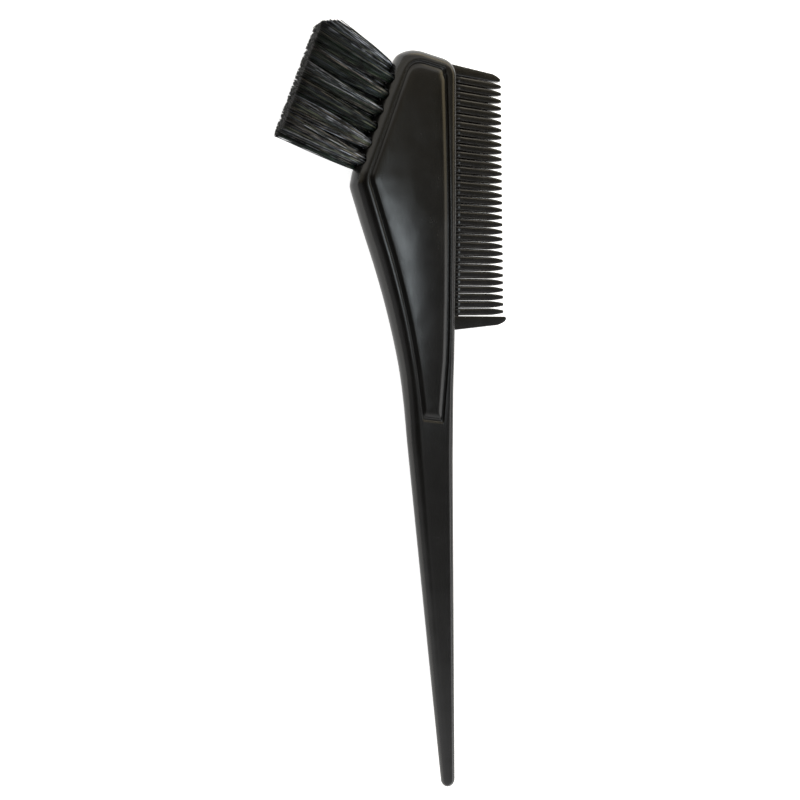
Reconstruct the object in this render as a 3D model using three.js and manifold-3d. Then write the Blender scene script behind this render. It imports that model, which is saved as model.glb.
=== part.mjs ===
// Tint brush for hair colouring: a one-piece moulded handle with a comb along one edge of its head and
// a bristle block on the other. Each bristle tuft is folded over its own flat wire anchor in a blind hole.
// Millimetres. The design is drawn with Y along the handle from the tail tip, X = 0 on the tail's axis,
// +X towards the comb and Z = 0 on the middle plane of the moulding. The finished group is then moved so
// that the origin is at the bottom centre of the whole brush, lying on its back.
import * as THREE from 'three';
import { mergeVertices } from 'three/addons/utils/BufferGeometryUtils.js';
import Module from 'manifold-3d';

const wasm = await Module();
wasm.setup();

// Thickness of the moulding: full at the head, thinner along the neck and thinnest at the tail tip.
const HEAD_HALF = 4.0;
const NECK_HALF = 3.0;
const TAIL_HALF = 1.75;
const HEAD_END_Y = 160;
const NECK_END_Y = 100;

// The side walls bulge past the crest line of each face by this share of the local half thickness: more on
// the handle below the head, and less on the slanted wall that carries the bristles.
const BULGE = 0.8;
const HANDLE_BULGE = 1.04;
const HANDLE_BULGE_FROM_Y = 98;
const HANDLE_BULGE_TO_Y = 122;
const BRISTLE_WALL_BULGE = 0.65;
const WALL_BANDS = 6;

// Crest line: where the flat faces turn into the side walls, seen from the front.
const TAIL_TIP = new THREE.Vector2(0.25, 2);
const TAIL_TIP_RADIUS = 0.2;
const COMB_SIDE_X = -0.6;
const HEAD_TOP_RIGHT = new THREE.Vector2(COMB_SIDE_X, 202.6);
const HEAD_TOP_LEFT = new THREE.Vector2(-14.4, 204.4);
const HEAD_BEND = new THREE.Vector2(-27.4, 169.9);
const NECK_START = new THREE.Vector2(-22, 154.1);
const POINT_SPACING = 6;

// Groove round the panel on each face, measured inwards from the crest line.
const GROOVE_OUTER = 0.55;
const GROOVE_INNER = 1.35;
const GROOVE_DEPTH = 0.6;
const PANEL_BOTTOM_Y = 104.4;
const PANEL_BOTTOM_GROOVE = 1.3;
const PANEL_BOTTOM_SLOPE = 0.14;

// Comb: a root strip, the regular teeth and a guard tooth at each end.
const TOOTH_COUNT = 32;
const TOOTH_PITCH = 2.13;
const FIRST_TOOTH_Y = 134.54;
const TOOTH_ROOT_X = 0.5;
const TOOTH_TAPER_X = 14.2;
const TOOTH_TIP_X = 19.5;
const TIP_LEAN = 0.9;
const TOOTH_HALF_WIDTH = 0.9;
const TOOTH_RIDGE = 0.42;
const TOOTH_TIP_HALF_WIDTH = 0.4;
const COMB_ROOT_HALF = 1.7;
const COMB_TAPER_HALF = 1.1;
const COMB_TIP_HALF = 0.7;
const ROOT_STRIP_X = 3.4;

// Bristle field: two rows of holes along the slanted wall, from its bend to the top of the head.
const ROW_HEIGHT = 1.5;
const TUFT_PITCH = 4.87;
const FRONT_ROW = { count: 6, first: 4.6, side: 1 };
const BACK_ROW = { count: 7, first: 3.6, side: -1 };
const FIELD_MIDDLE = 18.2;
const FIELD_HALF = 14.6;
const FAN_MIDDLE_DEG = 0.7;
const FAN_SPREAD_DEG = 0.8;
const BRISTLE_REACH = 25.2;
const HOLE_RADIUS = 1.25;
const HOLE_DEPTH = 6.2;
const CLEARANCE = 0.3;

// Wire anchor: a flat strip that bites into the plastic on both sides of its hole.
const ANCHOR = { width: 3.1, height: 1.3, thickness: 0.3, above_bottom: 1.1 };

const plastic = new THREE.MeshStandardMaterial({ color: 0x17161a, roughness: 0.38, metalness: 0 });
const nylon = new THREE.MeshStandardMaterial({ color: 0x1b1e1f, roughness: 0.5, metalness: 0 });
const brass = new THREE.MeshStandardMaterial({ color: 0xb08d4f, roughness: 0.4, metalness: 1 });

function halfThickness(y) {
  if (y >= HEAD_END_Y) return HEAD_HALF;
  if (y >= NECK_END_Y) return THREE.MathUtils.mapLinear(y, NECK_END_Y, HEAD_END_Y, NECK_HALF, HEAD_HALF);
  return THREE.MathUtils.mapLinear(y, 0, NECK_END_Y, TAIL_HALF, NECK_HALF);
}

function toSolid(geometry) {
  const merged = geometry.clone();
  merged.deleteAttribute('normal');
  merged.deleteAttribute('uv');
  const closed = mergeVertices(merged, 1e-4);
  return new wasm.Manifold(new wasm.Mesh({
    numProp: 3,
    vertProperties: new Float32Array(closed.attributes.position.array),
    triVerts: new Uint32Array(closed.index.array),
  }));
}

function toGeometry(solid) {
  const mesh = solid.getMesh();
  const geometry = new THREE.BufferGeometry();
  geometry.setAttribute('position', new THREE.BufferAttribute(mesh.vertProperties, 3));
  geometry.setIndex(new THREE.BufferAttribute(mesh.triVerts, 1));
  geometry.computeVertexNormals();
  return geometry;
}

function indexedGeometry(points, faces) {
  const geometry = new THREE.BufferGeometry();
  geometry.setAttribute('position', new THREE.Float32BufferAttribute(points.flatMap((p) => p.toArray()), 3));
  geometry.setIndex(faces.flat());
  return geometry;
}

// Closed rings of equal size joined in order, with a fan over the first and the last ring.
function loft(rings) {
  const size = rings[0].length;
  const faces = [];
  for (let k = 0; k + 1 < rings.length; k += 1) {
    for (let i = 0; i < size; i += 1) {
      const j = (i + 1) % size;
      faces.push([k * size + i, k * size + j, (k + 1) * size + j]);
      faces.push([k * size + i, (k + 1) * size + j, (k + 1) * size + i]);
    }
  }
  const last = (rings.length - 1) * size;
  for (let i = 1; i + 1 < size; i += 1) {
    faces.push([0, i + 1, i]);
    faces.push([last, last + i, last + i + 1]);
  }
  return indexedGeometry(rings.flat(), faces);
}

// Bends the path smoothly round a corner, from the same distance before it as it ends after it.
function roundCorner(path, corner, next, distance) {
  const before = corner.clone().sub(path.currentPoint).setLength(distance);
  const after = next.clone().sub(corner).setLength(distance);
  path.lineTo(corner.x - before.x, corner.y - before.y);
  path.quadraticCurveTo(corner.x, corner.y, corner.x + after.x, corner.y + after.y);
}

// The crest line as a closed loop, counter-clockwise from the tail tip up the comb side.
function crestLine() {
  const path = new THREE.Path();
  path.moveTo(TAIL_TIP.x, TAIL_TIP.y - TAIL_TIP_RADIUS);
  path.absarc(TAIL_TIP.x, TAIL_TIP.y, TAIL_TIP_RADIUS, -Math.PI / 2, 0);
  path.lineTo(-1.4, 88);
  path.quadraticCurveTo(-1.7, 100, -1.28, 112);
  path.lineTo(-0.9, 121);
  path.quadraticCurveTo(COMB_SIDE_X, 127, COMB_SIDE_X, 132);
  roundCorner(path, HEAD_TOP_RIGHT, HEAD_TOP_LEFT, 2.2);
  roundCorner(path, HEAD_TOP_LEFT, HEAD_BEND, 5.4);
  roundCorner(path, HEAD_BEND, NECK_START, 2.2);
  path.lineTo(NECK_START.x, NECK_START.y);
  path.quadraticCurveTo(-12.4, 127.4, -9.8, 101);
  path.lineTo(TAIL_TIP.x - TAIL_TIP_RADIUS, TAIL_TIP.y);
  path.absarc(TAIL_TIP.x, TAIL_TIP.y, TAIL_TIP_RADIUS, Math.PI, 1.5 * Math.PI);
  return path.curves.flatMap((curve) => {
    const least = curve.isLineCurve ? 1 : 5;
    const steps = Math.max(least, Math.ceil(curve.getLength() / POINT_SPACING));
    return curve.getPoints(steps).slice(0, -1);
  });
}

function outwardNormals(loop) {
  return loop.map((point, i) => {
    const before = loop[(i + loop.length - 1) % loop.length];
    const after = loop[(i + 1) % loop.length];
    const into = point.clone().sub(before).normalize();
    const away = after.clone().sub(point).normalize();
    const along = into.add(away).normalize();
    return new THREE.Vector2(along.y, -along.x);
  });
}

// Triangles over a loop that rises from its first point to its highest and falls back to its last.
function stitchLoop(loop) {
  const faces = [];
  let right = 0;
  let left = loop.length - 1;
  while (left - right > 1) {
    if (loop[right + 1].y <= loop[left - 1].y) {
      faces.push([right, right + 1, left]);
      right += 1;
    } else {
      faces.push([right, left - 1, left]);
      left -= 1;
    }
  }
  return faces;
}

const bristleWallAlong = HEAD_TOP_LEFT.clone().sub(HEAD_BEND).normalize();
const bristleWallOut = new THREE.Vector2(-bristleWallAlong.y, bristleWallAlong.x);

// Bulge of the side wall at the given height, where it faces the given way.
function bulgeAt(y, normal) {
  const head = THREE.MathUtils.smoothstep(y, HANDLE_BULGE_FROM_Y, HANDLE_BULGE_TO_Y);
  const facing = THREE.MathUtils.smoothstep(normal.dot(bristleWallOut), 0.85, 0.99);
  const plain = THREE.MathUtils.lerp(HANDLE_BULGE, BULGE, head);
  return THREE.MathUtils.lerp(plain, BRISTLE_WALL_BULGE, facing * head);
}

function bodySkin(crest, normals) {
  const rings = [];
  for (let band = 0; band <= WALL_BANDS; band += 1) {
    const angle = Math.PI * (band / WALL_BANDS - 0.5);
    rings.push(crest.map((point, i) => {
      const half = halfThickness(point.y);
      const out = band % WALL_BANDS === 0 ? 0 : bulgeAt(point.y, normals[i]) * half * Math.cos(angle);
      return new THREE.Vector3(
        point.x + normals[i].x * out,
        point.y + normals[i].y * out,
        half * Math.sin(angle),
      );
    }));
  }
  const size = crest.length;
  const faces = [];
  for (let band = 0; band < WALL_BANDS; band += 1) {
    for (let i = 0; i < size; i += 1) {
      const j = (i + 1) % size;
      faces.push([band * size + i, band * size + j, (band + 1) * size + j]);
      faces.push([band * size + i, (band + 1) * size + j, (band + 1) * size + i]);
    }
  }
  const top = WALL_BANDS * size;
  for (const [a, b, c] of stitchLoop(crest)) {
    faces.push([top + a, top + b, top + c]);
    faces.push([a, c, b]);
  }
  return toSolid(indexedGeometry(rings.flat(), faces));
}

// The crest line moved inwards and closed by a straight edge square to the handle, which crosses X = 0
// at the given height.
function panelLoop(crest, normals, inset, bottom) {
  const inner = crest.map((point, i) => point.clone().addScaledVector(normals[i], -inset));
  const kept = inner.filter((point, i) => crest[i].y > PANEL_BOTTOM_Y + 3);
  const extend = (near, far) => {
    const slope = (near.x - far.x) / (near.y - far.y);
    const y = bottom - PANEL_BOTTOM_SLOPE * near.x;
    return new THREE.Vector2(near.x + slope * (y - near.y), y);
  };
  return [extend(kept[0], kept[1]), ...kept, extend(kept.at(-1), kept.at(-2))];
}

// Ring-shaped cutter for the groove on one face; side is +1 for the front and -1 for the back.
function grooveCutter(crest, normals, side) {
  const outer = panelLoop(crest, normals, GROOVE_OUTER, PANEL_BOTTOM_Y - PANEL_BOTTOM_GROOVE);
  const inner = panelLoop(crest, normals, GROOVE_INNER, PANEL_BOTTOM_Y);
  const sections = outer.map((point, i) => {
    const place = (at, lift) => new THREE.Vector3(at.x, at.y, side * (halfThickness(at.y) + lift));
    return [
      place(point, -GROOVE_DEPTH),
      place(point, 1),
      place(inner[i], 1),
      place(inner[i], -GROOVE_DEPTH),
    ];
  });
  const faces = [];
  for (let i = 0; i < sections.length; i += 1) {
    const j = (i + 1) % sections.length;
    for (let k = 0; k < 4; k += 1) {
      const m = (k + 1) % 4;
      const quad = [i * 4 + k, j * 4 + k, j * 4 + m, i * 4 + m];
      if (side < 0) quad.reverse();
      faces.push([quad[0], quad[1], quad[2]]);
      faces.push([quad[0], quad[2], quad[3]]);
    }
  }
  return toSolid(indexedGeometry(sections.flat(), faces));
}

// Six-sided tooth section: a ridge on each face, widest on the middle plane.
function toothSection(x, y, halfWidth, ridge, half) {
  return [
    new THREE.Vector3(x, y + halfWidth, 0),
    new THREE.Vector3(x, y + ridge, half),
    new THREE.Vector3(x, y - ridge, half),
    new THREE.Vector3(x, y - halfWidth, 0),
    new THREE.Vector3(x, y - ridge, -half),
    new THREE.Vector3(x, y + ridge, -half),
  ];
}

function combTooth(index) {
  const y = FIRST_TOOTH_Y + index * TOOTH_PITCH;
  const tipX = TOOTH_TIP_X - TIP_LEAN * index / (TOOTH_COUNT - 1);
  return toSolid(loft([
    toothSection(TOOTH_ROOT_X, y, TOOTH_HALF_WIDTH, TOOTH_RIDGE, COMB_ROOT_HALF),
    toothSection(TOOTH_TAPER_X, y, TOOTH_HALF_WIDTH, TOOTH_RIDGE, COMB_TAPER_HALF),
    toothSection(tipX, y, TOOTH_TIP_HALF_WIDTH, TOOTH_TIP_HALF_WIDTH / 2, COMB_TIP_HALF),
  ]));
}

// A flat plate with the given outline on the middle plane, thinner towards the teeth's tips.
function combPlate(outline) {
  const layer = (side) => outline.map(([x, y]) => {
    const half = THREE.MathUtils.mapLinear(x, TOOTH_ROOT_X, TOOTH_TIP_X, COMB_ROOT_HALF, COMB_TIP_HALF);
    return new THREE.Vector3(x, y, side * half);
  });
  return toSolid(loft([layer(-1), layer(1)]));
}

function topGuard() {
  return combPlate([
    [TOOTH_ROOT_X, 201.75], [15, 201.8], [18.0, 201.95], [18.2, 202.8], [16.9, 203.5], [15.4, 203.95],
    [TOOTH_ROOT_X, 204.6],
  ]);
}

function bottomGuard() {
  return combPlate([
    [TOOTH_ROOT_X, 129.3], [17.4, 130.6], [19.7, 131.5], [20.4, 132.4], [20.1, 133.1], [TOOTH_ROOT_X, 133.35],
  ]);
}

function rootStrip() {
  return combPlate([
    [TOOTH_ROOT_X, 130.5], [ROOT_STRIP_X, 130.5], [ROOT_STRIP_X, 203.5], [TOOTH_ROOT_X, 203.5],
  ]);
}

// Frame of one tuft: its mouth on the wall, w along the filaments and u along the row.
function tuftFrame(row, index) {
  const out = bristleWallOut;
  const place = row.first + index * TUFT_PITCH;
  const lean = FAN_MIDDLE_DEG + FAN_SPREAD_DEG * (place - FIELD_MIDDLE) / FIELD_HALF;
  const wallBulge = BRISTLE_WALL_BULGE * Math.sqrt(HEAD_HALF ** 2 - ROW_HEIGHT ** 2);
  const mouth = HEAD_BEND.clone().addScaledVector(bristleWallAlong, place).addScaledVector(out, wallBulge);
  const w = out.clone().rotateAround(new THREE.Vector2(), -THREE.MathUtils.degToRad(lean));
  const u = new THREE.Vector2(-w.y, w.x);
  const length = (BRISTLE_REACH - wallBulge) / w.dot(out);
  const basis = new THREE.Matrix4().makeBasis(
    new THREE.Vector3(u.x, u.y, 0),
    new THREE.Vector3(0, 0, 1),
    new THREE.Vector3(w.x, w.y, 0),
  );
  basis.setPosition(mouth.x, mouth.y, row.side * ROW_HEIGHT);
  return { basis, length };
}

function holeCutter({ basis }) {
  const hole = new THREE.CylinderGeometry(HOLE_RADIUS, HOLE_RADIUS, HOLE_DEPTH + 4, 12);
  hole.rotateX(Math.PI / 2);
  hole.translate(0, 0, 2 - HOLE_DEPTH / 2);
  const slot = anchorBox(CLEARANCE);
  return toSolid(hole.applyMatrix4(basis)).add(toSolid(slot.applyMatrix4(basis)));
}

function anchorBox(gap) {
  const { width, height, thickness, above_bottom: lift } = ANCHOR;
  const box = new THREE.BoxGeometry(width + 2 * gap, thickness + 2 * gap, height + 2 * gap);
  return box.translate(0, 0, lift + height / 2 - HOLE_DEPTH);
}

// Superellipse ring across the tuft, so that tufts fan into a nearly closed block at the tips.
function tuftRing(halfAlong, halfAcross, power, w) {
  const ring = [];
  for (let i = 0; i < 16; i += 1) {
    const angle = 2 * Math.PI * i / 16;
    const across = Math.sin(angle);
    const along = Math.cos(angle);
    ring.push(new THREE.Vector3(
      halfAlong * Math.sign(along) * Math.abs(along) ** (2 / power),
      halfAcross * Math.sign(across) * Math.abs(across) ** (2 / power),
      w,
    ));
  }
  return ring;
}

function tuftSolid({ basis, length }) {
  const bound = HOLE_RADIUS - CLEARANCE;
  const tipHalfAlong = 2.25;
  const tipHalfAcross = 1.33;
  const tuft = loft([
    tuftRing(bound * 0.7, bound * 0.7, 2, CLEARANCE - HOLE_DEPTH),
    tuftRing(bound, bound, 2, CLEARANCE - HOLE_DEPTH + 0.4),
    tuftRing(bound, bound, 2, 0.3),
    tuftRing(1.45, 1.15, 2.5, length * 0.3),
    tuftRing(tipHalfAlong, tipHalfAcross, 4, length),
  ]);
  const window = toSolid(anchorBox(CLEARANCE).applyMatrix4(basis));
  return toSolid(tuft.applyMatrix4(basis)).subtract(window);
}

function namedMesh(name, geometry, material) {
  const mesh = new THREE.Mesh(geometry, material);
  mesh.name = name;
  return mesh;
}

function handleBody(frames) {
  const crest = crestLine();
  const normals = outwardNormals(crest);
  let body = bodySkin(crest, normals).add(rootStrip()).add(topGuard()).add(bottomGuard());
  for (let i = 0; i < TOOTH_COUNT; i += 1) body = body.add(combTooth(i));
  for (const side of [1, -1]) body = body.subtract(grooveCutter(crest, normals, side));
  for (const frame of frames) body = body.subtract(holeCutter(frame));
  return namedMesh('handle_body', toGeometry(body), plastic);
}

const tufts = [];
for (const [rowName, row] of [['front', FRONT_ROW], ['back', BACK_ROW]]) {
  for (let i = 0; i < row.count; i += 1) {
    tufts.push({ label: `${rowName}_${i + 1}`, frame: tuftFrame(row, i) });
  }
}

const brush = new THREE.Group();
brush.add(handleBody(tufts.map((tuft) => tuft.frame)));
for (const { label, frame } of tufts) {
  brush.add(namedMesh(`bristle_tuft_${label}`, toGeometry(tuftSolid(frame)), nylon));
  brush.add(namedMesh(`tuft_anchor_${label}`, anchorBox(0).applyMatrix4(frame.basis), brass));
}

const extent = new THREE.Box3().setFromObject(brush);
const middle = extent.getCenter(new THREE.Vector3());
brush.position.set(-middle.x, -middle.y, -extent.min.z);
brush.updateMatrixWorld(true);

export default brush;
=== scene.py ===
import math
import random

import bpy
from mathutils import Matrix, Vector
from mathutils.geometry import delaunay_2d_cdt


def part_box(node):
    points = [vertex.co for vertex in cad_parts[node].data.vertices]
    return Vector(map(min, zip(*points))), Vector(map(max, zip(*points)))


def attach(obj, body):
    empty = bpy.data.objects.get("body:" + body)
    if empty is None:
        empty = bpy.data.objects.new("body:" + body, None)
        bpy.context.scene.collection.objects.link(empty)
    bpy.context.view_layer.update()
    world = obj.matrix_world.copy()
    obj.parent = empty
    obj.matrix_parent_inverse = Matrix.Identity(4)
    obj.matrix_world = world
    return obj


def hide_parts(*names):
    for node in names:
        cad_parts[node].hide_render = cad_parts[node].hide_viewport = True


# Tint brush: moulded handle with a sunk line round the panel of each face, a comb of tapered teeth along
# one edge of the head, and thirteen tufts of nylon filaments on the other. Shapes are drawn in millimetres
# in the design frame of the CAD part: Y along the handle from the tail tip, X = 0 on the tail's axis, +X
# towards the comb and Z = 0 on the middle plane of the moulding.
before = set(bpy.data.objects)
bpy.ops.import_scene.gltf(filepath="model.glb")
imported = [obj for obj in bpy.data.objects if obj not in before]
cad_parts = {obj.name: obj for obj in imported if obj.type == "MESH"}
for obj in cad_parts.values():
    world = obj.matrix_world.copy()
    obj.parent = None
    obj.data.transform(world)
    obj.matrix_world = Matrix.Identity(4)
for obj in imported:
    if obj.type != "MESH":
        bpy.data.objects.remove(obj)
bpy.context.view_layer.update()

MM = 0.001
COMB_REACH_X = 20.4
TAIL_OVERHANG_Y = 0.042
part_low, part_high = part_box("handle_body")
ORIGIN = Vector((
    part_high.x - COMB_REACH_X * MM,
    part_low.y + TAIL_OVERHANG_Y * MM,
    (part_low.z + part_high.z) / 2,
))

# Thickness of the moulding.
HEAD_HALF = 4.0
NECK_HALF = 3.0
TAIL_HALF = 1.75
HEAD_END_Y = 160.0
NECK_END_Y = 100.0

# Side walls: how far they bulge beyond the crest line, as a share of half the thickness.
BULGE = 0.8
HANDLE_BULGE = 1.04
HANDLE_BULGE_FROM_Y = 98.0
HANDLE_BULGE_TO_Y = 122.0
BRISTLE_WALL_BULGE = 0.65
WALL_BANDS = 32

# Crest line: where the flat faces turn into the side walls. A curve is its control point and its end, and a
# rounding is how far a corner is bent on both sides.
TAIL_TIP = Vector((0.25, 2.0))
TAIL_TIP_RADIUS = 0.2
RIGHT_STRAIGHT_END = Vector((-1.4, 88))
RIGHT_HOLLOW_CURVE = (Vector((-1.7, 100)), Vector((-1.28, 112)))
COMB_SIDE_X = -0.9
RIGHT_RISE_END = Vector((COMB_SIDE_X, 121))
COMB_SIDE_CURVE = (Vector((COMB_SIDE_X, 127)), Vector((COMB_SIDE_X, 132)))
HEAD_TOP_RIGHT = Vector((COMB_SIDE_X, 202.6))
HEAD_TOP_RIGHT_ROUNDING = 2.2
HEAD_TOP_LEFT = Vector((-14.4, 204.4))
HEAD_TOP_LEFT_ROUNDING = 5.4
HEAD_BEND = Vector((-27.4, 169.9))
HEAD_BEND_ROUNDING = 2.2
NECK_START = Vector((-22.0, 154.1))
NECK_CURVE = (Vector((-12.4, 127.4)), Vector((-9.8, 101)))

# Groove round the panel. Its middle runs inwards of the crest line by these amounts along the bristle wall
# and the top, along the neck, and along the comb side, where it drifts further in towards both ends.
GROOVE_AT_WALL = 0.75
GROOVE_AT_NECK = 0.98
GROOVE_AT_COMB = 0.66
COMB_SIDE_MIDDLE_Y = 138.0
DRIFT_UP = 0.00030
DRIFT_DOWN = 0.00095
GROOVE_HALF = 0.38
GROOVE_DEPTH = 0.6
GROOVE_FLOOR = 0.3
GROOVE_WALL_LEAN = 0.04
RIM_EDGE = 0.16

# Panel: a shoulder slopes up from the groove to the flat, and LEFT_SHOULDER is the share of its width that it
# keeps on the bristle side. The sides run straight over the last stretch above the bottom edge. The front
# panel is crowned, and swells a little over the holes.
PANEL_SHOULDER = 1.5
PANEL_SHOULDER_DROP = 0.3
PANEL_EDGE = 0.12
LEFT_SHOULDER = 0.6
PANEL_BOTTOM_Y = 104.4
PANEL_BOTTOM_GROOVE = 1.3
PANEL_BOTTOM_SLOPE = 0.14
PANEL_BOTTOM_ROUNDING = 0.7
PANEL_STRAIGHT_END = 3
PANEL_TOP_ROUNDING_SHARE = 1.4
PANEL_TOP_ROUNDING_EXTRA = 1.8
PANEL_GRID = 1.5
PANEL_CROWN = 0.36
PANEL_CROWN_Y = 155.0
PANEL_CROWN_REACH = 24.0
SWELL_HEIGHT = 0.06
SWELL_RADIUS = 1.2
SWELL_REACH = 4
SWELL_ABOVE_HOLE_BOTTOM = 1.4

# Comb.
TOOTH_COUNT = 32
TOOTH_PITCH = 2.13
FIRST_TOOTH_Y = 134.54
TOOTH_ROOT_X = 0.5
TOOTH_TAPER_X = 13.6
TOOTH_TIP_X = 19.5
TIP_LEAN = 0.9
TOOTH_ROOT_HALF_WIDTH = 1.02
TOOTH_HALF_WIDTH = 0.995
TOOTH_TIP_HALF_WIDTH = 0.48
TOOTH_TAPER_POWER = 1.8
TOOTH_RIDGE = 0.62
TOOTH_WAIST = 0.8
TOOTH_TIP_RIDGE = 0.25
TOOTH_TIP_ROUNDING = 0.5
TOOTH_EDGE_ROUNDING = 0.45
TOOTH_STEM_STEPS = 4
TOOTH_TAPER_STEPS = 10
TOOTH_CAP_STEPS = 4
TOOTH_CAP_STEPS_TO_POINT = 4.4
COMB_ROOT_HALF = 1.7
COMB_TIP_HALF = 0.7
ROOT_STRIP_X = 3.4
ROOT_STRIP_FROM_Y = 130.5
ROOT_STRIP_TO_Y = 203.5
ROOT_STRIP_HALF = 1.0
ROOT_STRIP_ROUNDING = 0.5
ROOT_STRIP_EDGE = 0.3
GUARD_EDGE = 0.22
UPPER_GUARD = [
    (TOOTH_ROOT_X, 201.75), (15, 201.8), (18.0, 201.95), (18.2, 202.8), (16.9, 203.5), (15.4, 203.95),
    (TOOTH_ROOT_X, 204.6),
]
UPPER_GUARD_ROUNDINGS = [0.5, 0.5, 0.4, 0.4, 0.5, 0.5, 0.5]
LOWER_GUARD = [
    (TOOTH_ROOT_X, 129.3), (17.4, 130.6), (19.7, 131.5), (COMB_REACH_X, 132.4), (20.1, 133.1),
    (TOOTH_ROOT_X, 133.35),
]
LOWER_GUARD_ROUNDINGS = [0.6, 0.9, 0.5, 0.36, 0.36, 0.6]

# Bristle field. Each row has its number of tufts, the place of the first one and the side it is on.
ROW_HEIGHT = 1.5
TUFT_PITCH = 4.87
ROWS = {"front": (6, 4.6, 1), "back": (7, 3.6, -1)}
TOP_TUFT = "back_7"
FIELD_MIDDLE = 18.2
FIELD_HALF = 14.6
FAN_MIDDLE = math.radians(0.7)
FAN_SPREAD = math.radians(0.8)
BRISTLE_REACH = 25.2
HOLE_RADIUS = 1.25
HOLE_BOTTOM = 6.2
DIMPLE_DEPTH = 1.6
DIMPLE_EDGE = 0.25

# Tufts: half the size of the bundle at its tips, and how it widens from the hole to there.
TUFT_ROOT_RADIUS = 1.12
TUFT_TIP_ALONG = 2.45
TUFT_TIP_ACROSS = 1.6
TUFT_SPREAD_POWER = 0.75
TUFT_SQUARENESS = 6
TIP_SPREAD = (0.88, 1.07)
TIP_JITTER = 0.1
CLUMPS = 9
CLUMP_PLACES = 0.95
CLUMP_PULL = 0.28
CLUMP_TONE_SHARE = 0.45

# The tuft at the top stands alone behind the front row, so it is fuller and its outer corner is cut.
TOP_TUFT_ALONG = 2.4
TOP_TUFT_ACROSS = 3.0
TOP_TUFT_SHIFT = -0.25
TOP_TUFT_SPREAD_POWER = 0.5
TOP_CORNER_FROM = 0.3
TOP_CORNER_CUT = 1.6

# Filaments.
FILAMENTS = 140
FILAMENT_RADIUS = 0.125
FILAMENT_RADIUS_RANGE = (0.85, 1.1)
FILAMENT_ROOT_SHARE = 0.9
FILAMENT_SINK = 1.3
FILAMENT_EXTRA = 0.45
FILAMENT_LENGTH_JITTER = 0.12
FILAMENT_BOW = (0.2, 0.15)
FILAMENT_SIDES = 5
FILAMENT_STEPS = 9

# Camera, and the point the light is aimed at, in the design frame.
VIEW_AIM = Vector((-15.25, 136.2, 0))
VIEW_DISTANCE = 228.23
VIEW_TILT = math.radians(29.0546)
VIEW_LENS = 37.35
VIEW_SHIFT_Y = -0.1175
LIGHT_AIM = Vector((-12, 150, 0))

# Floor and light, with lengths in metres.
FLOOR_REACH = 3.0
FLOOR_GLOW = 0.85
LIGHT_DIRECTION = Vector((0.36, 0.03, 0.93))
LIGHT_DISTANCE = 0.9
LIGHT_WIDTH = 0.07
LIGHT_LENGTH = 0.2
LIGHT_POWER = 0.6
LIGHT_COLOUR = (0.86, 0.95, 1.0)


def half_thickness(y):
    """Half the thickness of the moulding, which thins from the head to the tail."""
    if y >= HEAD_END_Y:
        return HEAD_HALF
    if y >= NECK_END_Y:
        return NECK_HALF + (HEAD_HALF - NECK_HALF) * (y - NECK_END_Y) / (HEAD_END_Y - NECK_END_Y)
    return TAIL_HALF + (NECK_HALF - TAIL_HALF) * y / NECK_END_Y


def smoothstep(low, high, value):
    t = min(1.0, max(0.0, (value - low) / (high - low)))
    return t * t * (3 - 2 * t)


class Shape:
    """The points, in millimetres in the design frame, and the faces of one piece."""

    def __init__(self):
        self.points = []
        self.faces = []

    def ring(self, points):
        """Adds the points and gives their numbers."""
        start = len(self.points)
        self.points.extend(Vector(p) for p in points)
        return list(range(start, len(self.points)))

    def bridge(self, ring, following):
        """A closed band of quads between two rings of equal size."""
        for i in range(len(ring)):
            j = (i + 1) % len(ring)
            self.faces.append((ring[i], ring[j], following[j], following[i]))

    def loft(self, sections):
        """Closed skin through rings of equal size; the first and the last are capped."""
        rings = [self.ring(section) for section in sections]
        for ring, following in zip(rings, rings[1:]):
            self.bridge(ring, following)
        self.faces.append(tuple(reversed(rings[0])))
        self.faces.append(tuple(rings[-1]))

    def fill(self, outer, hole=(), grid=(), height=None, flip=False):
        """Triangles between a closed ring and an optional hole in it, with extra points inside."""
        known = list(outer) + list(hole)
        flat = [self.points[i].to_2d() for i in known] + [Vector(p) for p in grid]
        loops = [list(range(len(outer)))]
        if hole:
            loops.append(list(range(len(outer), len(known))))
        places, _, triangles, sources, _, owners = delaunay_2d_cdt(flat, [], loops, 0, 1e-6)
        index = {}
        for triangle, owner in zip(triangles, owners):
            if list(owner) != [0]:
                continue
            face = []
            for corner in triangle:
                if corner not in index:
                    source = sources[corner][0] if sources[corner] else len(known)
                    if source < len(known):
                        index[corner] = known[source]
                    else:
                        x, y = places[corner]
                        index[corner] = self.ring([(x, y, height(x, y))])[0]
                face.append(index[corner])
            self.faces.append(tuple(reversed(face)) if flip else tuple(face))

    def piece(self, name, material, replaced, slot):
        """The finished object, on the body and in place of the CAD node it stands for."""
        mesh = bpy.data.meshes.new(name)
        mesh.from_pydata([ORIGIN + p * MM for p in self.points], [], self.faces)
        mesh.validate()
        mesh.shade_smooth()
        mesh.materials.append(material)
        piece = bpy.data.objects.new(name, mesh)
        bpy.context.collection.objects.link(piece)
        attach(piece, "root")
        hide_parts(replaced)
        return piece


# ---------------------------------------------------------------- outline of the moulding

def straight(start, end, steps):
    return [start.lerp(end, k / steps) for k in range(steps)]


def curved(start, control, end, steps):
    points = []
    for k in range(steps):
        t = k / steps
        points.append(start * (1 - t) ** 2 + control * (2 * t * (1 - t)) + end * t * t)
    return points


def arc(centre, radius, first, last, steps):
    angles = [first + (last - first) * k / steps for k in range(steps)]
    return [centre + Vector((math.cos(a), math.sin(a))) * radius for a in angles]


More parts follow.
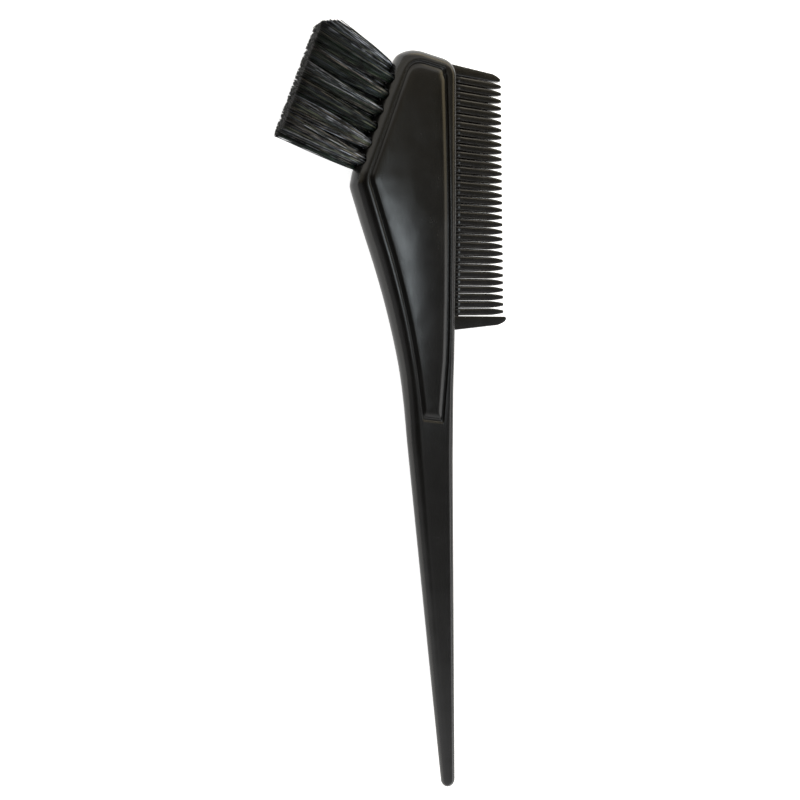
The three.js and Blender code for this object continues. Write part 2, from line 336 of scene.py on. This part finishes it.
def crest_line(top_right=HEAD_TOP_RIGHT_ROUNDING):
    """The crest line as a closed loop, counter-clockwise from the tail tip up the comb side. top_right is how
    far the corner above the comb bends on both sides."""
    right = TAIL_TIP + Vector((TAIL_TIP_RADIUS, 0))
    loop = arc(TAIL_TIP, TAIL_TIP_RADIUS, -math.pi / 2, 0, 5)
    here = right
    for kind, *stops, steps in (
        ("line", RIGHT_STRAIGHT_END, 60),
        ("curve", *RIGHT_HOLLOW_CURVE, 18),
        ("line", RIGHT_RISE_END, 6),
        ("curve", *COMB_SIDE_CURVE, 8),
        ("corner", HEAD_TOP_RIGHT, HEAD_TOP_LEFT, top_right, (46, 14)),
        ("corner", HEAD_TOP_LEFT, HEAD_BEND, HEAD_TOP_LEFT_ROUNDING, (8, 20)),
        ("corner", HEAD_BEND, NECK_START, HEAD_BEND_ROUNDING, (100, 12)),
        ("line", NECK_START, 10),
        ("curve", *NECK_CURVE, 42),
        ("line", TAIL_TIP - Vector((TAIL_TIP_RADIUS, 0)), 66),
    ):
        if kind == "line":
            loop += straight(here, stops[0], steps)
            here = stops[0]
        elif kind == "curve":
            loop += curved(here, stops[0], stops[1], steps)
            here = stops[1]
        else:
            at, following, distance = stops
            before = at - (at - here).normalized() * distance
            after = at + (following - at).normalized() * distance
            loop += straight(here, before, steps[0]) + curved(before, at, after, steps[1])
            here = after
    return loop + arc(TAIL_TIP, TAIL_TIP_RADIUS, math.pi, 1.5 * math.pi, 5)


def outward(loop):
    """Outward normals of a counter-clockwise loop."""
    normals = []
    for i, point in enumerate(loop):
        into = (point - loop[i - 1]).normalized()
        away = (loop[(i + 1) % len(loop)] - point).normalized()
        along = (into + away).normalized()
        normals.append(Vector((along.y, -along.x)))
    return normals


WALL_ALONG = (HEAD_TOP_LEFT - HEAD_BEND).normalized()
WALL_OUT = Vector((-WALL_ALONG.y, WALL_ALONG.x))


def tuft_frames():
    """Frame of each tuft: columns along the row, across the moulding and out along the filaments."""
    frames = {}
    for row, (count, first, side) in ROWS.items():
        for i in range(count):
            place = first + i * TUFT_PITCH
            lean = FAN_MIDDLE + FAN_SPREAD * (place - FIELD_MIDDLE) / FIELD_HALF
            bulge = BRISTLE_WALL_BULGE * math.sqrt(HEAD_HALF ** 2 - ROW_HEIGHT ** 2)
            mouth = HEAD_BEND + WALL_ALONG * place + WALL_OUT * bulge
            out = Matrix.Rotation(-lean, 2) @ WALL_OUT
            basis = Matrix((
                (-out.y, 0, out.x, mouth.x),
                (out.x, 0, out.y, mouth.y),
                (0, 1, 0, side * ROW_HEIGHT),
                (0, 0, 0, 1),
            ))
            frames[f"{row}_{i + 1}"] = (basis, (BRISTLE_REACH - bulge) / out.dot(WALL_OUT))
    return frames


TUFTS = tuft_frames()


# ---------------------------------------------------------------- handle

def dimpled(point):
    """A point of the bristle wall, pushed into the hole whose mouth it lies in."""
    for basis, _ in TUFTS.values():
        offset = point - basis.translation
        if offset.length > 2 * HOLE_RADIUS:
            continue
        away = (basis.to_3x3().transposed() @ offset).to_2d().length
        depth = DIMPLE_DEPTH * (1 - smoothstep(HOLE_RADIUS - DIMPLE_EDGE, HOLE_RADIUS + DIMPLE_EDGE, away))
        point = point - basis.to_3x3().col[2] * depth
    return point


def wall_ring(crest, normals, band):
    """One of the rings that make up the side walls, from the crest line of the back to that of the front."""
    angle = math.pi * (band / WALL_BANDS - 0.5)
    ring = []
    for point, normal in zip(crest, normals):
        half = half_thickness(point.y)
        head = smoothstep(HANDLE_BULGE_FROM_Y, HANDLE_BULGE_TO_Y, point.y)
        facing = head * smoothstep(0.85, 0.99, normal.dot(WALL_OUT))
        plain = HANDLE_BULGE + (BULGE - HANDLE_BULGE) * head
        bulge = plain + (BRISTLE_WALL_BULGE - plain) * facing
        out = point + normal * (bulge * half * math.cos(angle) if 0 < band < WALL_BANDS else 0)
        place = Vector((out.x, out.y, half * math.sin(angle)))
        ring.append(dimpled(place) if facing > 0 and 0 < band < WALL_BANDS else place)
    return ring


def groove_profile():
    """Pairs of distance inwards from the groove's middle and depth below the face, from rim to panel."""
    profile = []
    for k in range(5):
        angle = math.pi / 2 * k / 4
        profile.append((-GROOVE_HALF - RIM_EDGE * (1 - math.sin(angle)), RIM_EDGE * (1 - math.cos(angle))))
    for k in range(9):
        angle = math.pi * k / 8
        profile.append((
            -(GROOVE_HALF - GROOVE_WALL_LEAN) * math.cos(angle),
            GROOVE_DEPTH - GROOVE_FLOOR * (1 - math.sin(angle)),
        ))
    for k in range(4):
        angle = math.pi / 2 * k / 4
        profile.append((
            GROOVE_HALF + PANEL_EDGE * (1 - math.cos(angle)),
            PANEL_SHOULDER_DROP + PANEL_EDGE * (1 - math.sin(angle)),
        ))
    for k in range(7):
        left = 1 - k / 6
        profile.append((
            GROOVE_HALF + PANEL_EDGE + (PANEL_SHOULDER - PANEL_EDGE) * k / 6,
            PANEL_SHOULDER_DROP * left * (0.6 * left + 0.4),
        ))
    return profile


def groove_inset(point, normal, inwards):
    """How far inwards of the crest line the profile's line lies that is `inwards` of the groove's middle."""
    comb_side = smoothstep(0.2, 0.8, normal.x)
    neck = smoothstep(0.0, 0.4, -normal.y) * smoothstep(0.2, 0.8, -normal.x)
    away = point.y - COMB_SIDE_MIDDLE_Y
    drift = (DRIFT_UP if away > 0 else DRIFT_DOWN) * away * away
    inset = GROOVE_AT_WALL + (GROOVE_AT_NECK - GROOVE_AT_WALL) * neck
    saved = max(0.0, inwards - GROOVE_HALF) * (1 - LEFT_SHOULDER) * smoothstep(0.2, 0.8, -normal.x)
    return inset + (GROOVE_AT_COMB + drift - inset) * comb_side + inwards - saved


def panel_loop(inwards):
    """The groove's middle line moved inwards and closed by a bottom edge with rounded corners."""
    reach = max(0.0, GROOVE_AT_COMB + inwards)
    crest = crest_line(top_right=PANEL_TOP_ROUNDING_SHARE * (reach + PANEL_TOP_ROUNDING_EXTRA))
    normals = outward(crest)
    kept = [
        p - n * groove_inset(p, n, inwards)
        for p, n in zip(crest, normals) if p.y > PANEL_BOTTOM_Y + PANEL_STRAIGHT_END
    ]
    share = min(1.0, (inwards + GROOVE_HALF) / (2 * GROOVE_HALF))
    bottom = PANEL_BOTTOM_Y - PANEL_BOTTOM_GROOVE * (1 - share) + max(0.0, inwards - GROOVE_HALF)

    def reach_down(near, far):
        """The line through the two points, followed down to the bottom edge."""
        slope = (near.x - far.x) / (near.y - far.y)
        y = bottom - PANEL_BOTTOM_SLOPE * near.x
        return Vector((near.x + slope * (y - near.y), y))

    right = reach_down(kept[0], kept[1])
    left = reach_down(kept[-1], kept[-2])
    across = (right - left).normalized() * PANEL_BOTTOM_ROUNDING
    up_left = (kept[-1] - left).normalized() * PANEL_BOTTOM_ROUNDING
    up_right = (kept[0] - right).normalized() * PANEL_BOTTOM_ROUNDING
    loop = straight(kept[-1], left + up_left, 3) + curved(left + up_left, left, left + across, 5)
    loop += straight(left + across, right - across, 8)
    loop += curved(right - across, right, right + up_right, 5) + straight(right + up_right, kept[0], 3)
    return kept[:-1] + loop


SWELLS = [
    basis @ Vector((0, 0, SWELL_ABOVE_HOLE_BOTTOM - HOLE_BOTTOM))
    for name, (basis, _) in TUFTS.items() if name.startswith("front")
]


def panel_height(loop, x, y):
    """Height of the front panel above the middle plane: slightly crowned, with a swell over each hole."""
    height = half_thickness(y)
    crossings = []
    for start, end in zip(loop, loop[1:] + loop[:1]):
        if (start.y > y) != (end.y > y):
            crossings.append(start.x + (end.x - start.x) * (y - start.y) / (end.y - start.y))
    if len(crossings) >= 2:
        middle = (min(crossings) + max(crossings)) / 2
        side = (x - middle) / (max(crossings) - middle)
        along = math.exp(-((y - PANEL_CROWN_Y) / PANEL_CROWN_REACH) ** 2)
        height += PANEL_CROWN * along * max(0.0, 1 - side * side)
    for swell in SWELLS:
        distance = math.hypot(x - swell.x, y - swell.y)
        if distance < SWELL_REACH:
            height += SWELL_HEIGHT * math.exp(-(distance / SWELL_RADIUS) ** 2)
    return height


def grid_inside(loop, spacing, above):
    """Regular points between the loop's extremes, kept clear of the loop itself."""
    lows = [min(p[k] for p in loop) for k in (0, 1)]
    highs = [max(p[k] for p in loop) for k in (0, 1)]
    points = []
    for i in range(int((highs[0] - lows[0]) / spacing)):
        for j in range(int((highs[1] - lows[1]) / spacing)):
            shift = 0.5 * (j % 2)
            place = Vector((lows[0] + (i + shift) * spacing, lows[1] + (j + 0.5) * spacing))
            if place.y < above:
                continue
            if all((place - p).length > 0.6 * spacing for p in loop):
                points.append(place)
    return points


def handle_skin(material):
    """The side walls, and on each face the rim, the groove and the panel."""
    shape = Shape()
    crest = crest_line()
    normals = outward(crest)
    rings = [shape.ring(wall_ring(crest, normals, band)) for band in range(WALL_BANDS + 1)]
    for ring, following in zip(rings, rings[1:]):
        shape.bridge(ring, following)
    profile = groove_profile()
    loops = [panel_loop(inwards) for inwards, _ in profile]
    grid = grid_inside(loops[-1], PANEL_GRID, PANEL_BOTTOM_Y)
    for side, crest_ring in ((1, rings[-1]), (-1, rings[0])):
        bands = []
        for loop, (_, depth) in zip(loops, profile):
            bands.append(shape.ring((p.x, p.y, side * (half_thickness(p.y) - depth)) for p in loop))
        shape.fill(crest_ring, bands[0], flip=side < 0)
        for ring, following in zip(bands, bands[1:]):
            if side > 0:
                shape.bridge(ring, following)
            else:
                shape.bridge(following, ring)
        shape.fill(
            bands[-1], grid=grid, flip=side < 0,
            height=lambda x, y: panel_height(loops[-1], x, y) if side > 0 else -half_thickness(y),
        )
    return shape.piece("handle_skin", material, "handle_body", "moulded_plastic")


# ---------------------------------------------------------------- comb

def rounded(corners, distances, steps=3):
    """A polygon with each corner bent smoothly over the given distance on both sides."""
    points = []
    for i, corner in enumerate(corners):
        before = corner + (corners[i - 1] - corner).normalized() * distances[i]
        after = corner + (corners[(i + 1) % len(corners)] - corner).normalized() * distances[i]
        points += curved(before, corner, after, steps) + [after]
    return points


def tooth_section(x, y, half_width, ridge, half, swell=1.0):
    """Section of a tooth: a flat ridge on each face, sloping to straight sides at the middle of the comb."""
    waist = TOOTH_WAIST * half
    front = [(half_width, waist), (ridge, half), (-ridge, half), (-half_width, waist)]
    corners = [Vector(c) for c in front] + [-Vector(c) for c in front]
    bend = TOOTH_EDGE_ROUNDING * min(ridge, waist, half - waist + half_width - ridge)
    return [Vector((x, y + swell * p.x, swell * p.y)) for p in rounded(corners, [bend] * 8)]


def comb_half(x):
    """Half the comb's thickness, which thins towards the tips of the teeth."""
    share = (x - TOOTH_ROOT_X) / (TOOTH_TIP_X - TOOTH_ROOT_X)
    return COMB_ROOT_HALF + (COMB_TIP_HALF - COMB_ROOT_HALF) * share


def comb_tooth(shape, index):
    """One tooth: nearly even up to where it tapers, and closed by a cap just short of a point."""
    y = FIRST_TOOTH_Y + index * TOOTH_PITCH
    end = TOOTH_TIP_X - TIP_LEAN * index / (TOOTH_COUNT - 1) - TOOTH_TIP_ROUNDING
    sections = []
    for k in range(TOOTH_STEM_STEPS):
        x = TOOTH_ROOT_X + (TOOTH_TAPER_X - TOOTH_ROOT_X) * k / TOOTH_STEM_STEPS
        narrowing = (TOOTH_HALF_WIDTH - TOOTH_ROOT_HALF_WIDTH) * k / TOOTH_STEM_STEPS
        half_width = TOOTH_ROOT_HALF_WIDTH + narrowing
        sections.append(tooth_section(x, y, half_width, TOOTH_RIDGE, comb_half(x)))
    for k in range(TOOTH_TAPER_STEPS + 1):
        x = TOOTH_TAPER_X + (end - TOOTH_TAPER_X) * k / TOOTH_TAPER_STEPS
        taper = (k / TOOTH_TAPER_STEPS) ** TOOTH_TAPER_POWER
        sections.append(tooth_section(
            x, y,
            TOOTH_HALF_WIDTH + (TOOTH_TIP_HALF_WIDTH - TOOTH_HALF_WIDTH) * taper,
            TOOTH_RIDGE + (TOOTH_TIP_RIDGE - TOOTH_RIDGE) * taper,
            comb_half(x),
        ))
    for k in range(1, TOOTH_CAP_STEPS + 1):
        angle = math.pi / 2 * k / TOOTH_CAP_STEPS_TO_POINT
        sections.append(tooth_section(
            end + TOOTH_TIP_ROUNDING * math.sin(angle), y,
            TOOTH_TIP_HALF_WIDTH, TOOTH_TIP_RIDGE, comb_half(end), math.cos(angle),
        ))
    shape.loft(sections)


def plate(shape, corners, bends, edge, half_at):
    """A flat plate with the given outline and rounded edges; half_at gives half its thickness at an X."""
    outline = rounded([Vector(c) for c in corners], bends, 5)
    normals = outward(outline)
    rings = []
    for side in (-1, 1):
        for k in range(5):
            angle = math.pi / 2 * (k / 4 if side > 0 else 1 - k / 4)
            ring = []
            for p, n in zip(outline, normals):
                moved = p - n * edge * (1 - math.cos(angle))
                ring.append((moved.x, moved.y, side * (half_at(p.x) - edge * (1 - math.sin(angle)))))
            rings.append(shape.ring(ring))
    for ring, following in zip(rings, rings[1:]):
        shape.bridge(ring, following)
    shape.fill(rings[-1])
    shape.fill(rings[0], flip=True)


def comb(material):
    """The teeth, the guard tooth at each end and the thin strip between the roots of the teeth."""
    shape = Shape()
    for index in range(TOOTH_COUNT):
        comb_tooth(shape, index)
    plate(shape, UPPER_GUARD, UPPER_GUARD_ROUNDINGS, GUARD_EDGE, comb_half)
    plate(shape, LOWER_GUARD, LOWER_GUARD_ROUNDINGS, GUARD_EDGE, comb_half)
    strip = [
        (TOOTH_ROOT_X, ROOT_STRIP_FROM_Y), (ROOT_STRIP_X, ROOT_STRIP_FROM_Y),
        (ROOT_STRIP_X, ROOT_STRIP_TO_Y), (TOOTH_ROOT_X, ROOT_STRIP_TO_Y),
    ]
    plate(shape, strip, [ROOT_STRIP_ROUNDING] * 4, ROOT_STRIP_EDGE, lambda x: ROOT_STRIP_HALF)
    return shape.piece("comb", material, "handle_body", "moulded_plastic")


# ---------------------------------------------------------------- bristles

def on_disc(k, count):
    """Evenly spread places on the unit disc."""
    radius = math.sqrt((k + 0.5) / count)
    angle = k * math.pi * (3 - math.sqrt(5))
    return Vector((radius * math.cos(angle), radius * math.sin(angle)))


def squared(place):
    """Moves a place on the unit disc out to a rounded square."""
    length = place.length
    if length < 1e-6:
        return place
    power = TUFT_SQUARENESS
    reach = (abs(place.x / length) ** power + abs(place.y / length) ** power) ** (-1 / power)
    return place * reach


def filament(shape, basis, spine, radius):
    """A thin rod along the spine, which is given in the frame of its tuft."""
    sections = []
    for k, place in enumerate(spine):
        nearby = spine[min(k + 1, len(spine) - 1)] - spine[max(k - 1, 0)]
        side = nearby.cross(Vector((0.3, 1, 0))).normalized()
        other = nearby.cross(side).normalized()
        thickness = radius if k else radius * FILAMENT_ROOT_SHARE
        ring = []
        for i in range(FILAMENT_SIDES):
            angle = -2 * math.pi * i / FILAMENT_SIDES
            ring.append(basis @ (place + (side * math.cos(angle) + other * math.sin(angle)) * thickness))
        sections.append(ring)
    shape.loft(sections)


def tuft(name, material):
    """A bundle of filaments out of one hole; the tips lean together in clumps, each with a tone of its own."""
    basis, length = TUFTS[name]
    draw = random.Random(f"tuft {name}")
    top = name == TOP_TUFT
    count = 2 * FILAMENTS if top else FILAMENTS
    along = TOP_TUFT_ALONG if top else TUFT_TIP_ALONG
    across = TOP_TUFT_ACROSS if top else TUFT_TIP_ACROSS
    middle = Vector((TOP_TUFT_SHIFT, ROW_HEIGHT) if top else (0, 0))
    spread = TOP_TUFT_SPREAD_POWER if top else TUFT_SPREAD_POWER
    clumps = [squared(on_disc(k, CLUMPS)) * CLUMP_PLACES for k in range(CLUMPS)]
    clump_tone = [draw.random() for _ in clumps]
    shape = Shape()
    tones = []
    for k in range(count):
        start = on_disc(k, count)
        root = start * TUFT_ROOT_RADIUS
        end = squared(start) * draw.uniform(*TIP_SPREAD)
        end += Vector((draw.gauss(0, TIP_JITTER), draw.gauss(0, TIP_JITTER)))
        nearest = min(range(CLUMPS), key=lambda c: (clumps[c] - end).length)
        end = end.lerp(clumps[nearest], draw.uniform(0.0, CLUMP_PULL))
        tip = Vector((end.x * along, end.y * across)) + middle
        bow = Vector([draw.gauss(0, amount) for amount in FILAMENT_BOW])
        reach = length + FILAMENT_EXTRA - abs(draw.gauss(0, FILAMENT_LENGTH_JITTER))
        if top:
            reach -= TOP_CORNER_CUT * max(0.0, TOP_CORNER_FROM - tip.x)
        spine = []
        for step in range(FILAMENT_STEPS + 1):
            s = step / FILAMENT_STEPS
            lateral = root.lerp(tip, s ** spread) + bow * math.sin(math.pi * s)
            spine.append(Vector((lateral.x, lateral.y, (reach + FILAMENT_SINK) * s - FILAMENT_SINK)))
        tone = CLUMP_TONE_SHARE * clump_tone[nearest] + (1 - CLUMP_TONE_SHARE) * draw.random()
        filament(shape, basis, spine, FILAMENT_RADIUS * draw.uniform(*FILAMENT_RADIUS_RANGE))
        for step in range(FILAMENT_STEPS + 1):
            tones += [(tone, step / FILAMENT_STEPS)] * FILAMENT_SIDES
    piece = shape.piece(f"tuft_{name}", material, f"bristle_tuft_{name}", "bristle_nylon")
    for layer, column in (("tone", 0), ("along", 1)):
        values = piece.data.attributes.new(layer, "FLOAT", "POINT")
        values.data.foreach_set("value", [pair[column] for pair in tones])
    return piece


# ---------------------------------------------------------------- materials

class Nodes:
    """Short calls for building the node tree of a material or a world."""

    def __init__(self, owner):
        owner.use_nodes = True
        self.tree = owner.node_tree
        self.tree.nodes.clear()

    def add(self, kind, **values):
        node = self.tree.nodes.new(kind)
        for name, value in values.items():
            setattr(node, name, value)
        return node

    def link(self, output, socket):
        self.tree.links.new(output, socket)

    def fed(self, node, *values):
        """The node, with a number or a colour set on each input or an output linked to it."""
        for socket, value in zip(node.inputs, values):
            if isinstance(value, bpy.types.NodeSocket):
                self.link(value, socket)
            else:
                socket.default_value = value
        return node

    def maths(self, operation, *values):
        return self.fed(self.add("ShaderNodeMath", operation=operation), *values).outputs["Value"]

    def vector(self, operation, *values):
        return self.fed(self.add("ShaderNodeVectorMath", operation=operation), *values)

    def ramp(self, value, *stops):
        node = self.add("ShaderNodeValToRGB")
        elements = node.color_ramp.elements
        while len(elements) < len(stops):
            elements.new(0.5)
        for element, (position, colour) in zip(elements, stops):
            element.position = position
            element.color = (*colour, 1) if isinstance(colour, tuple) else (colour, colour, colour, 1)
        self.link(value, node.inputs["Fac"])
        return node.outputs["Color"]


class Surface(Nodes):
    """A node material with one Principled shader."""

    def __init__(self, name):
        self.material = bpy.data.materials.new(name)
        super().__init__(self.material)
        self.shader = self.add("ShaderNodeBsdfPrincipled")
        output = self.add("ShaderNodeOutputMaterial")
        self.link(self.shader.outputs["BSDF"], output.inputs["Surface"])
        self.place = self.add("ShaderNodeTexCoord").outputs["Object"]

    def noise(self, scale, detail=3.0, roughness=0.5, stretch=None):
        node = self.add("ShaderNodeTexNoise")
        node.inputs["Scale"].default_value = scale
        node.inputs["Detail"].default_value = detail
        node.inputs["Roughness"].default_value = roughness
        place = self.place
        if stretch:
            mapping = self.add("ShaderNodeMapping")
            mapping.inputs["Rotation"].default_value = stretch[0]
            mapping.inputs["Scale"].default_value = stretch[1]
            self.link(place, mapping.inputs["Vector"])
            place = mapping.outputs["Vector"]
        self.link(place, node.inputs["Vector"])
        return node.outputs["Fac"]

    def bump(self, height, distance, previous=None):
        node = self.add("ShaderNodeBump")
        node.inputs["Strength"].default_value = 1.0
        node.inputs["Distance"].default_value = distance
        self.link(height, node.inputs["Height"])
        if previous is not None:
            self.link(previous, node.inputs["Normal"])
        return node.outputs["Normal"]


def moulded_plastic():
    """Black moulded plastic: faint mottling, a fine mould texture and long hairline scratches."""
    nodes = Surface("black_moulded_plastic")
    mottle = nodes.noise(70, 4)
    grain = nodes.noise(2600, 2)
    scratches = nodes.ramp(
        nodes.noise(420, 5, 0.6, ((0, 0, math.radians(12)), (9, 0.35, 1))),
        (0.66, 0.0), (0.74, 1.0),
    )
    nodes.link(
        nodes.ramp(mottle, (0.3, (0.0019, 0.0016, 0.0013)), (0.7, (0.0028, 0.0024, 0.0020))),
        nodes.shader.inputs["Base Color"],
    )
    rough = nodes.maths("MULTIPLY_ADD", nodes.noise(160, 4), 0.1, 0.15)
    rough = nodes.maths("MULTIPLY_ADD", grain, 0.08, rough)
    rough = nodes.maths("MULTIPLY_ADD", scratches, 0.03, rough)
    nodes.link(rough, nodes.shader.inputs["Roughness"])
    normal = nodes.bump(nodes.noise(55, 2), 0.0003)
    normal = nodes.bump(grain, 0.000012, normal)
    normal = nodes.bump(scratches, 0.000001, normal)
    nodes.link(normal, nodes.shader.inputs["Normal"])
    nodes.shader.inputs["IOR"].default_value = 1.49
    return nodes.material


def bristle_nylon():
    """Black nylon filament: each one has its own tone, with painted highlight streaks on the palest ones, and
    a patchy painted highlight along it that is brightest near the hole and dims to a dark tip.
    """
    nodes = Surface("black_bristle_nylon")
    tone = nodes.add("ShaderNodeAttribute", attribute_name="tone").outputs["Fac"]
    along = nodes.add("ShaderNodeAttribute", attribute_name="along").outputs["Fac"]
    # Each filament's own colour, picked by its tone; the palest stops are painted highlight streaks standing
    # in for lit filaments
    tone_and_painted_highlight = nodes.ramp(
        tone,
        (0.1, (0.002, 0.003, 0.002)), (0.35, (0.010, 0.020, 0.011)), (0.5, (0.024, 0.030, 0.042)),
        (0.62, (0.060, 0.072, 0.048)), (0.74, (0.105, 0.092, 0.078)), (0.88, (0.27, 0.29, 0.33)),
    )
    # Painted highlight along each filament, multiplied into its colour: patchy, brightest just out of the
    # hole, darker right at the hole and dimming towards the tip
    place = nodes.fed(
        nodes.add("ShaderNodeCombineXYZ"),
        nodes.maths("MULTIPLY", tone, 90.0), nodes.maths("MULTIPLY", along, 6.0),
    )
    highlight_patches = nodes.add("ShaderNodeTexNoise")
    highlight_patches.inputs["Scale"].default_value = 1.0
    nodes.link(place.outputs["Vector"], highlight_patches.inputs["Vector"])
    painted_highlight_along = nodes.ramp(along, (0.05, 0.7), (0.12, 1.6), (0.55, 1.0), (0.85, 0.6), (0.96, 0.4), (1.0, 0.1))
    painted_sheen = nodes.maths("MULTIPLY", painted_highlight_along, nodes.ramp(highlight_patches.outputs["Fac"], (0.42, 0.15), (0.6, 1.7)))
    mix = nodes.add("ShaderNodeMix", data_type="RGBA", blend_type="MULTIPLY")
    mix.inputs["Factor"].default_value = 1.0
    nodes.link(tone_and_painted_highlight, mix.inputs[6])
    nodes.link(painted_sheen, mix.inputs[7])
    nodes.link(mix.outputs[2], nodes.shader.inputs["Base Color"])
    streak = nodes.noise(1500, 3)
    nodes.link(nodes.maths("MULTIPLY_ADD", streak, 0.2, 0.28), nodes.shader.inputs["Roughness"])
    nodes.link(nodes.bump(streak, 0.00001), nodes.shader.inputs["Normal"])
    nodes.shader.inputs["Specular IOR Level"].default_value = 0.22
    nodes.shader.inputs["IOR"].default_value = 1.53
    return nodes.material


def anchor_brass():
    """Drawn brass strip with long tool marks and duller patches."""
    nodes = Surface("drawn_brass")
    marks = nodes.noise(900, 4, 0.6, ((0, 0, 0), (1, 12, 1)))
    nodes.link(
        nodes.ramp(nodes.noise(500, 3), (0.3, (0.42, 0.26, 0.09)), (0.7, (0.62, 0.43, 0.17))),
        nodes.shader.inputs["Base Color"],
    )
    nodes.link(nodes.ramp(marks, (0.3, 0.25), (0.7, 0.5)), nodes.shader.inputs["Roughness"])
    nodes.link(nodes.bump(marks, 0.00001), nodes.shader.inputs["Normal"])
    nodes.shader.inputs["Metallic"].default_value = 1.0
    return nodes.material


def pale_floor():
    """Matt pale floor that glows a little, so that it stays white under the weak light."""
    nodes = Surface("pale_floor")
    nodes.link(
        nodes.ramp(nodes.noise(12, 3), (0.3, (0.93, 0.93, 0.93)), (0.7, (0.95, 0.95, 0.95))),
        nodes.shader.inputs["Base Color"],
    )
    nodes.shader.inputs["Roughness"].default_value = 0.9
    nodes.shader.inputs["Specular IOR Level"].default_value = 0.2
    nodes.shader.inputs["Emission Color"].default_value = (1, 1, 1, 1)
    nodes.shader.inputs["Emission Strength"].default_value = FLOOR_GLOW
    return nodes.material


# ---------------------------------------------------------------- studio

def camera():
    """The camera looks down at the head, tilted to see the wall on the bristle side."""
    data = bpy.data.cameras.new("camera")
    data.sensor_width = 36
    data.lens = VIEW_LENS
    data.shift_y = VIEW_SHIFT_Y
    data.clip_start = 0.01
    data.clip_end = 20
    view = bpy.data.objects.new("camera", data)
    towards = Vector((-math.sin(VIEW_TILT), 0, math.cos(VIEW_TILT)))
    view.location = ORIGIN + (VIEW_AIM + towards * VIEW_DISTANCE) * MM
    view.rotation_euler = (0, -VIEW_TILT, 0)
    bpy.context.collection.objects.link(view)
    bpy.context.scene.camera = view


def floor(material):
    mesh = bpy.data.meshes.new("floor")
    corners = [(x * FLOOR_REACH, y * FLOOR_REACH, 0) for x, y in ((-1, -1), (1, -1), (1, 1), (-1, 1))]
    mesh.from_pydata(corners, [], [(0, 1, 2, 3)])
    mesh.materials.append(material)
    plane = bpy.data.objects.new("floor", mesh)
    bpy.context.collection.objects.link(plane)


def sky(nodes, axis, *stops):
    """Colour of the sky by the direction's share along an axis: 0 straight away from it, 1 along it."""
    direction = nodes.add("ShaderNodeTexCoord").outputs["Generated"]
    dot = nodes.vector("DOT_PRODUCT", direction, axis).outputs["Value"]
    return nodes.ramp(nodes.maths("MULTIPLY_ADD", dot, 0.5, 0.5), *stops)


def soft_world():
    """Soft white surroundings: the side away from the comb is dark, and so is the sky over the comb down to a
    bright strip; towards the top of the brush the sky turns brown, and both ends are bright again. The camera
    itself sees plain white."""
    world = bpy.data.worlds.new("soft_world")
    nodes = Nodes(world)
    away = sky(nodes, (-0.342, 0, 0.94), (0.905, 1.0), (0.9285, 0.65), (0.95, 0.2), (0.9725, 0.1))
    over_comb = sky(
        nodes, (0.643, 0, -0.766),
        (0.2, 0.38), (0.33, 0.28), (0.385, 0.1), (0.485, 0.08),
        (0.52, 2.6), (0.6, 2.6), (0.65, 0.4), (0.9, 0.4),
    )
    top = sky(
        nodes, (0, 1, 0),
        (0.52, 1.0), (0.59, (0.5, 0.42, 0.24)), (0.635, (0.85, 0.7, 0.42)), (0.68, (1, 0.85, 0.55)),
    )
    ends = sky(nodes, (0, 1, 0), (0.22, 0.8), (0.32, 0.0), (0.68, 0.0), (0.76, 1.1), (0.86, 0.6))
    sides = nodes.vector("MULTIPLY", away, over_comb).outputs["Vector"]
    around = nodes.vector("MULTIPLY", sides, top).outputs["Vector"]
    total = nodes.vector("ADD", around, ends).outputs["Vector"]
    seen = nodes.add("ShaderNodeMix", data_type="RGBA")
    nodes.link(nodes.add("ShaderNodeLightPath").outputs["Is Camera Ray"], seen.inputs["Factor"])
    nodes.link(total, seen.inputs[6])
    seen.inputs[7].default_value = (1, 1, 1, 1)
    background = nodes.fed(nodes.add("ShaderNodeBackground"), seen.outputs[2])
    output = nodes.add("ShaderNodeOutputWorld")
    nodes.link(background.outputs["Background"], output.inputs["Surface"])
    bpy.context.scene.world = world


def soft_light():
    """A soft box aimed at the head, its length along the brush."""
    data = bpy.data.lights.new("key_light", "AREA")
    data.shape = "RECTANGLE"
    data.size = LIGHT_WIDTH
    data.size_y = LIGHT_LENGTH
    data.energy = LIGHT_POWER
    data.color = LIGHT_COLOUR
    light = bpy.data.objects.new("key_light", data)
    way = LIGHT_DIRECTION.normalized()
    sideways = Vector((0, 1, 0)).cross(way).normalized()
    light.location = ORIGIN + LIGHT_AIM * MM + way * LIGHT_DISTANCE
    light.rotation_mode = "QUATERNION"
    light.rotation_quaternion = Matrix((sideways, way.cross(sideways), way)).transposed().to_quaternion()
    bpy.context.collection.objects.link(light)


bpy.context.scene.view_settings.view_transform = "Standard"
camera()
floor(pale_floor())
soft_world()
soft_light()

plastic = moulded_plastic()
nylon = bristle_nylon()
brass = anchor_brass()
handle_skin(plastic)
comb(plastic)
for tuft_name in TUFTS:
    tuft(tuft_name, nylon)
    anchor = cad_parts[f"tuft_anchor_{tuft_name}"]
    for material_slot in anchor.material_slots:
        material_slot.material = brass
